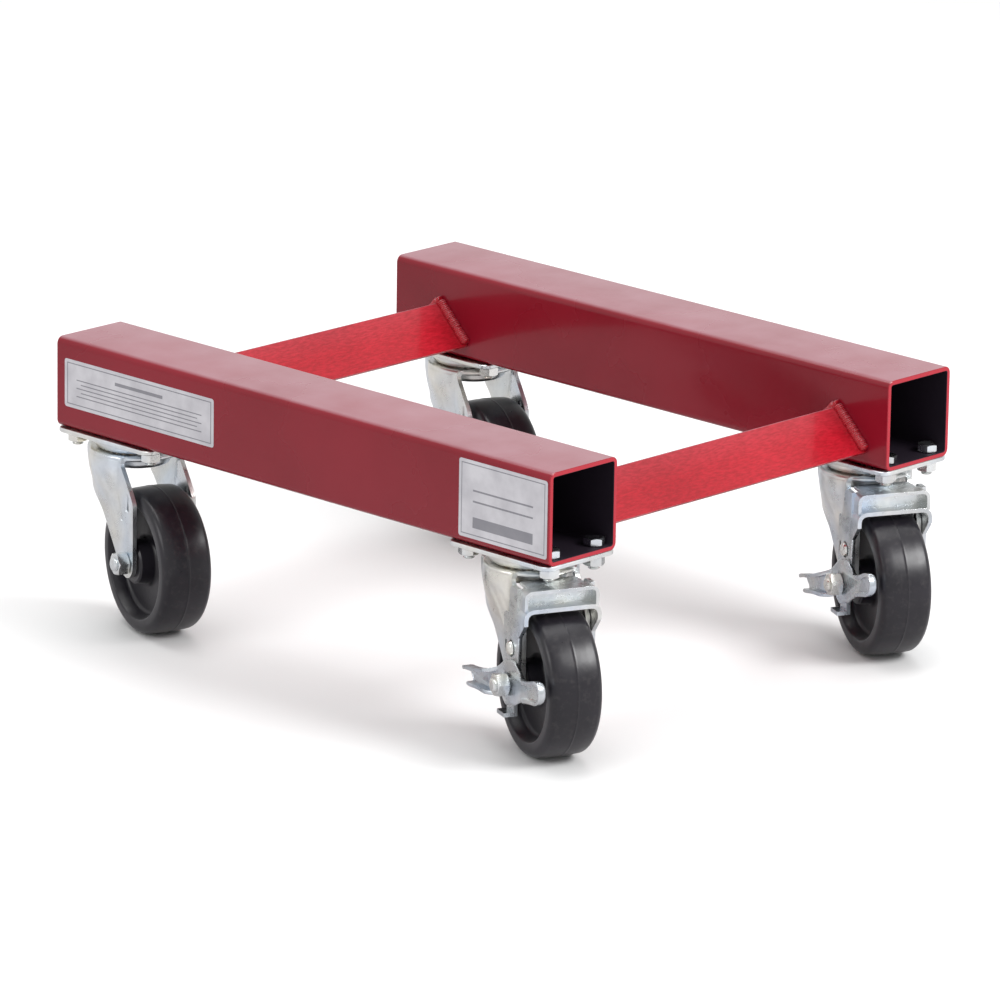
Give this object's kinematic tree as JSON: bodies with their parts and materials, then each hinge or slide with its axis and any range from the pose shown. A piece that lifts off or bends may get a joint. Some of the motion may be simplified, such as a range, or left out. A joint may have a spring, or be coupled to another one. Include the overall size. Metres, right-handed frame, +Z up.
{
  "type": "wheel dolly",
  "caption": "Low tyre dolly: square-tube rails joined by angle crossbars, on swivel casters, those at the front with foot brakes.",
  "frame": {"origin": "on the floor, under the middle of the whole footprint, casters included", "axes": "+Z up, +Y along the rails towards the unbraked end, +X across from the left rail to the right rail"},
  "size_m": [0.4352, 0.5046, 0.197],
  "materials": {
    "red_paint": "glossy red enamel on steel tube",
    "zinc_steel": "bright zinc-plated pressed steel",
    "brake_zinc": "bluish bright zinc-plated sheet",
    "bright_bolt": "bright zinc-plated hardware",
    "race_steel": "greased bearing steel",
    "wheel_black": "smooth black hard rubber with a soft sheen",
    "label_film": "silver-grey printed sticker"
  },
  "bodies": {
    "frame": {"left_rail": "red_paint", "right_rail": "red_paint", "front_crossbar": "red_paint", "rear_crossbar": "red_paint", "front_left_top_plate": "zinc_steel", "front_left_kingpin": "bright_bolt", "front_left_ball_ring": "race_steel", "front_left_bolt_1": "bright_bolt", "front_left_bolt_2": "bright_bolt", "front_left_bolt_3": "bright_bolt", "front_left_bolt_4": "bright_bolt", "front_right_top_plate": "zinc_steel", "front_right_kingpin": "bright_bolt", "front_right_ball_ring": "race_steel", "front_right_bolt_1": "bright_bolt", "front_right_bolt_2": "bright_bolt", "front_right_bolt_3": "bright_bolt", "front_right_bolt_4": "bright_bolt", "rear_left_top_plate": "zinc_steel", "rear_left_kingpin": "bright_bolt", "rear_left_ball_ring": "race_steel", "rear_left_bolt_1": "bright_bolt", "rear_left_bolt_2": "bright_bolt", "rear_left_bolt_3": "bright_bolt", "rear_left_bolt_4": "bright_bolt", "rear_right_top_plate": "zinc_steel", "rear_right_kingpin": "bright_bolt", "rear_right_ball_ring": "race_steel", "rear_right_bolt_1": "bright_bolt", "rear_right_bolt_2": "bright_bolt", "rear_right_bolt_3": "bright_bolt", "rear_right_bolt_4": "bright_bolt"},
    "front_left_wheel": {"front_left_wheel": "wheel_black"},
    "front_left_lever": {"front_left_brake_lever": "brake_zinc"},
    "front_left_saddle": {"front_left_brake_saddle": "brake_zinc"},
    "front_left_swivel": {"front_left_fork": "zinc_steel", "front_left_axle_bolt": "bright_bolt", "front_left_axle_nut": "bright_bolt", "front_left_axle_sleeve": "race_steel", "front_left_brake_rivet": "bright_bolt"},
    "front_right_wheel": {"front_right_wheel": "wheel_black"},
    "front_right_lever": {"front_right_brake_lever": "brake_zinc"},
    "front_right_saddle": {"front_right_brake_saddle": "brake_zinc"},
    "front_right_swivel": {"front_right_fork": "zinc_steel", "front_right_axle_bolt": "bright_bolt", "front_right_axle_nut": "bright_bolt", "front_right_axle_sleeve": "race_steel", "front_right_brake_rivet": "bright_bolt"},
    "rear_left_wheel": {"rear_left_wheel": "wheel_black"},
    "rear_left_swivel": {"rear_left_fork": "zinc_steel", "rear_left_axle_bolt": "bright_bolt", "rear_left_axle_nut": "bright_bolt", "rear_left_axle_sleeve": "race_steel"},
    "rear_right_wheel": {"rear_right_wheel": "wheel_black"},
    "rear_right_swivel": {"rear_right_fork": "zinc_steel", "rear_right_axle_bolt": "bright_bolt", "rear_right_axle_nut": "bright_bolt", "rear_right_axle_sleeve": "race_steel"}
  },
  "joints": [
    {"name": "front_left_swivel_turn", "type": "hinge", "parent": "frame", "child": "front_left_swivel", "pos_m": [-0.14718, -0.16973, 0.1335], "axis": [0, 0, 1], "continuous": true},
    {"name": "front_left_wheel_spin", "type": "hinge", "parent": "front_left_swivel", "child": "front_left_wheel", "pos_m": [-0.16101, -0.20079, 0.0508], "axis": [0.9135, -0.4067, 0], "continuous": true},
    {"name": "front_left_lever_press", "type": "hinge", "parent": "front_left_swivel", "child": "front_left_lever", "pos_m": [-0.16101, -0.20079, 0.0508], "axis": [0.9135, -0.4067, 0], "range_deg": [0, 25]},
    {"name": "front_left_saddle_press", "type": "slide", "parent": "front_left_swivel", "child": "front_left_saddle", "axis": [0, 0, -1], "range_m": [0, 0.002]},
    {"name": "front_right_swivel_turn", "type": "hinge", "parent": "frame", "child": "front_right_swivel", "pos_m": [0.18332, -0.16973, 0.1335], "axis": [0, 0, 1], "continuous": true},
    {"name": "front_right_wheel_spin", "type": "hinge", "parent": "front_right_swivel", "child": "front_right_wheel", "pos_m": [0.16788, -0.20002, 0.0508], "axis": [0.891, -0.454, 0], "continuous": true},
    {"name": "front_right_lever_press", "type": "hinge", "parent": "front_right_swivel", "child": "front_right_lever", "pos_m": [0.16788, -0.20002, 0.0508], "axis": [0.891, -0.454, 0], "range_deg": [0, 30]},
    {"name": "front_right_saddle_press", "type": "slide", "parent": "front_right_swivel", "child": "front_right_saddle", "axis": [0, 0, -1], "range_m": [0, 0.002]},
    {"name": "rear_left_swivel_turn", "type": "hinge", "parent": "frame", "child": "rear_left_swivel", "pos_m": [-0.14718, 0.20627, 0.1335], "axis": [0, 0, 1], "continuous": true},
    {"name": "rear_left_wheel_spin", "type": "hinge", "parent": "rear_left_swivel", "child": "rear_left_wheel", "pos_m": [-0.15769, 0.17393, 0.0508], "axis": [0.9511, -0.309, 0], "continuous": true},
    {"name": "rear_right_swivel_turn", "type": "hinge", "parent": "frame", "child": "rear_right_swivel", "pos_m": [0.18332, 0.20627, 0.1335], "axis": [0, 0, 1], "continuous": true},
    {"name": "rear_right_wheel_spin", "type": "hinge", "parent": "rear_right_swivel", "child": "rear_right_wheel", "pos_m": [0.17169, 0.17432, 0.0508], "axis": [0.9397, -0.342, 0], "continuous": true}
  ],
  "couplings": [
    {"joint": "front_left_saddle_press", "follows": "front_left_lever_press", "m_per_rad": 0.00458},
    {"joint": "front_right_saddle_press", "follows": "front_right_lever_press", "m_per_rad": 0.00381}
  ]
}
